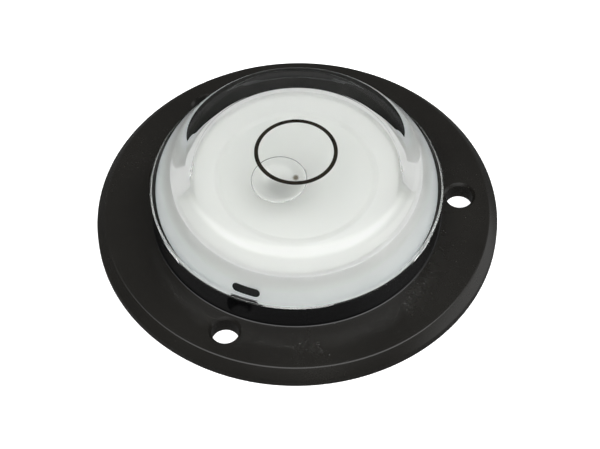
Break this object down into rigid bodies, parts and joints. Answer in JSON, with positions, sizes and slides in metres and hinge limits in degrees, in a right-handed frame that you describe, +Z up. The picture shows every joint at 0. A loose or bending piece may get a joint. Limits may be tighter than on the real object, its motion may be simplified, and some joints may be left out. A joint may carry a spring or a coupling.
{
  "type": "bullseye level",
  "caption": "Round surface level: a bubble under a thick clear domed cap with a target ring, on a black bevelled flange with screw holes.",
  "frame": {"origin": "centre of the flange's underside", "axes": "+Z up along the axis of the level, +X towards the side with the single screw hole"},
  "size_m": [0.066, 0.066, 0.0179],
  "materials": {
    "black_plastic": "satin",
    "white_plastic": "matte",
    "clear_acrylic": "polished",
    "spirit": "clear liquid",
    "black_ink": "satin",
    "black_rubber": "matte"
  },
  "bodies": {
    "root": {"mounting_flange": "black_plastic", "backing_cup": "white_plastic", "vial_cap": "clear_acrylic", "spirit_fill": "spirit", "target_ring": "black_ink", "fill_plug": "black_rubber"}
  },
  "joints": []
}
